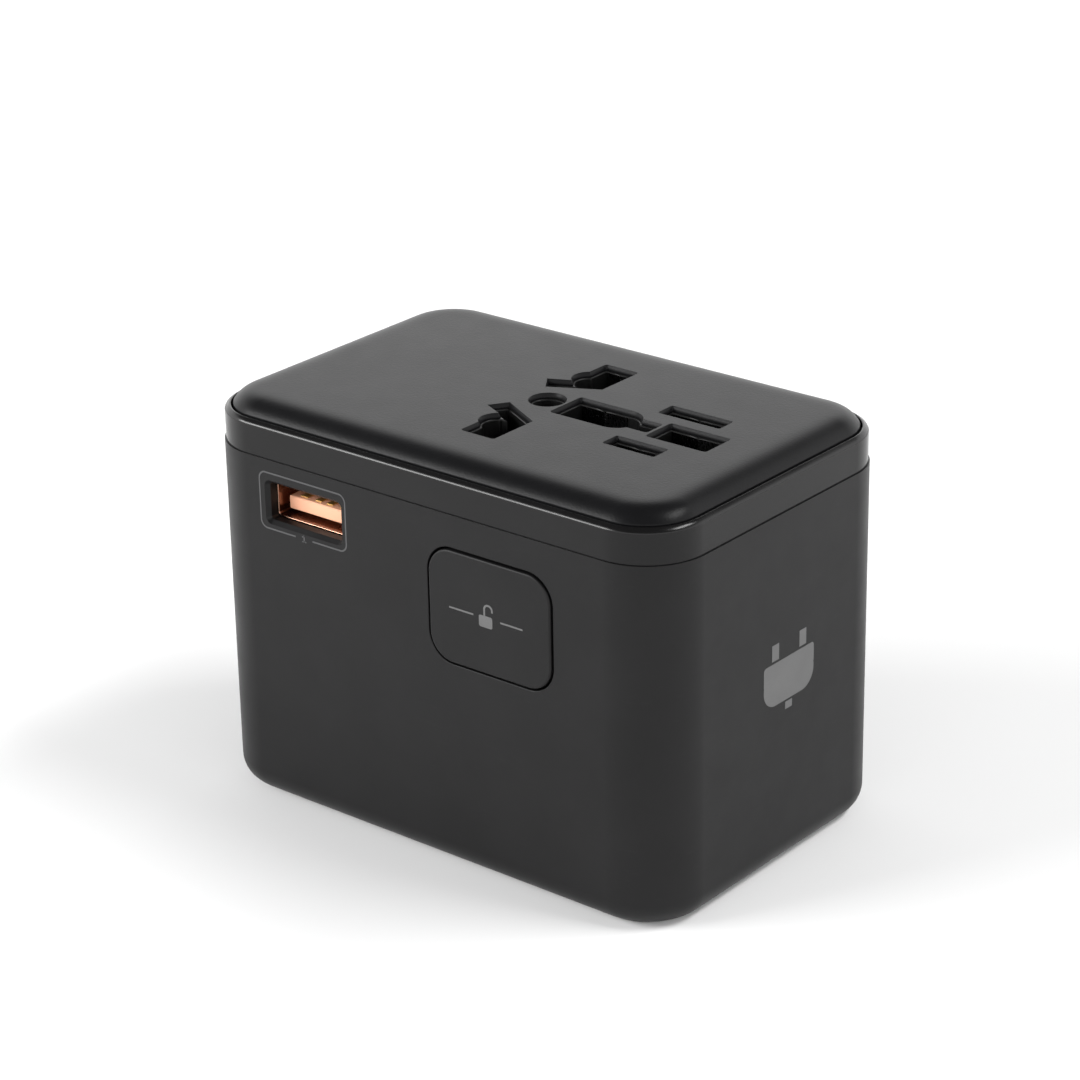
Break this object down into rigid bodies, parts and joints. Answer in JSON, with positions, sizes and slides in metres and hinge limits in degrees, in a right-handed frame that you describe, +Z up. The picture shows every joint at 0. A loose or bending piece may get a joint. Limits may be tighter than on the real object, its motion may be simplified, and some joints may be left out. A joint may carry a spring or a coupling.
{
  "type": "universal travel adapter",
  "caption": "Box-shaped travel adapter with a universal socket on top, retractable plug pins below worked by back sliders, a front unlock button and charging ports.",
  "frame": {"origin": "centre of the flat base, on the surface the adapter stands on", "axes": "+Z up out of the universal socket, +X along the length away from the charging ports, -Y out of the front face with the unlock button, +Y towards the slider knobs"},
  "size_m": [0.0772, 0.0524, 0.057],
  "materials": {
    "satin_black": "moulded satin black ABS/PC",
    "gloss_black": "semi-gloss black plastic band",
    "matte_black": "fine-textured matte black plastic",
    "inner_black": "black flame-retardant plastic",
    "shutter_black": "smooth black acetal",
    "grey_nylon": "dark grey glass-filled nylon",
    "nickel_pin": "nickel-plated brass",
    "brass_contact": "stamped brass",
    "screw_steel": "zinc-plated steel",
    "spring_steel": "bright spring steel",
    "port_steel": "nickel-plated stamped steel",
    "port_orange": "orange high-temperature nylon",
    "green_board": "solder-masked glass epoxy",
    "ferrite": "sintered ferrite",
    "yellow_tape": "polyester winding tape",
    "capacitor_sleeve": "shrink sleeve",
    "heat_sink_aluminium": "extruded aluminium",
    "fuse_glass": "clear glass tube"
  },
  "bodies": {
    "housing": {"main_housing": "satin_black", "plug_plate": "satin_black", "bezel_band": "gloss_black", "socket_panel": "matte_black", "socket_guide": "inner_black", "contact_carrier": "inner_black", "contact_base": "inner_black", "earth_contact": "brass_contact", "live_contact": "brass_contact", "neutral_contact": "brass_contact", "eu_live_rail": "brass_contact", "us_live_rail": "brass_contact", "eu_neutral_rail": "brass_contact", "us_neutral_rail": "brass_contact", "core_screw_1": "screw_steel", "core_screw_2": "screw_steel", "plate_screw_1": "screw_steel", "plate_screw_2": "screw_steel", "plate_screw_3": "screw_steel", "plate_screw_4": "screw_steel", "shutter_spring": "spring_steel", "button_spring_1": "spring_steel", "button_spring_2": "spring_steel", "front_usb_a_shell": "port_steel", "end_usb_a_shell": "port_steel", "end_usb_c_shell": "port_steel", "front_usb_a_tongue": "port_orange", "end_usb_a_tongue": "port_orange", "end_usb_c_tongue": "inner_black", "charger_board": "green_board", "mains_board": "green_board", "transformer_core": "ferrite", "transformer_winding": "yellow_tape", "smoothing_capacitor": "capacitor_sleeve", "heat_sink": "heat_sink_aluminium", "fuse_glass": "fuse_glass", "fuse_cap_front": "nickel_pin", "fuse_cap_rear": "nickel_pin", "fuse_clip_front": "brass_contact", "fuse_clip_rear": "brass_contact"},
    "unlock_button": {"unlock_button": "satin_black", "lock_plate": "grey_nylon"},
    "safety_shutter": {"safety_shutter": "shutter_black"},
    "eu_slider": {"eu_carriage": "grey_nylon", "eu_live_pin": "nickel_pin", "eu_neutral_pin": "nickel_pin", "eu_knob": "satin_black"},
    "uk_slider": {"uk_carriage": "grey_nylon", "uk_live_pin": "nickel_pin", "uk_neutral_pin": "nickel_pin", "uk_earth_pin": "nickel_pin", "uk_knob": "satin_black"},
    "us_slider": {"us_carriage": "grey_nylon", "us_knob": "satin_black"},
    "us_live_turner": {"us_live_rotor": "grey_nylon", "us_live_blade": "nickel_pin"},
    "us_neutral_turner": {"us_neutral_rotor": "grey_nylon", "us_neutral_blade": "nickel_pin"}
  },
  "joints": [
    {"name": "unlock_button_press", "type": "slide", "parent": "housing", "child": "unlock_button", "axis": [0, 1, 0], "range_m": [0, 0.0012], "stiffness_N_per_m": 900, "springref_m": -0.002, "deforming": ["button_spring_1", "button_spring_2"]},
    {"name": "safety_shutter_slide", "type": "slide", "parent": "housing", "child": "safety_shutter", "axis": [-1, 0, 0], "range_m": [0, 0.009], "stiffness_N_per_m": 40, "springref_m": -0.003, "deforming": ["shutter_spring"]},
    {"name": "eu_slide", "type": "slide", "parent": "housing", "child": "eu_slider", "axis": [0, 0, -1], "range_m": [0, 0.0198]},
    {"name": "uk_slide", "type": "slide", "parent": "housing", "child": "uk_slider", "axis": [0, 0, -1], "range_m": [0, 0.0235]},
    {"name": "us_slide", "type": "slide", "parent": "housing", "child": "us_slider", "axis": [0, 0, -1], "range_m": [0, 0.0176]},
    {"name": "us_neutral_blade_turn", "type": "hinge", "parent": "us_slider", "child": "us_neutral_turner", "pos_m": [0.0098, 0.0066, 0.0188], "axis": [0, 0, 1], "range_deg": [0, 30]},
    {"name": "us_live_blade_turn", "type": "hinge", "parent": "us_slider", "child": "us_live_turner", "pos_m": [0.0098, -0.0066, 0.0188], "axis": [0, 0, 1], "range_deg": [-30, 0]}
  ]
}
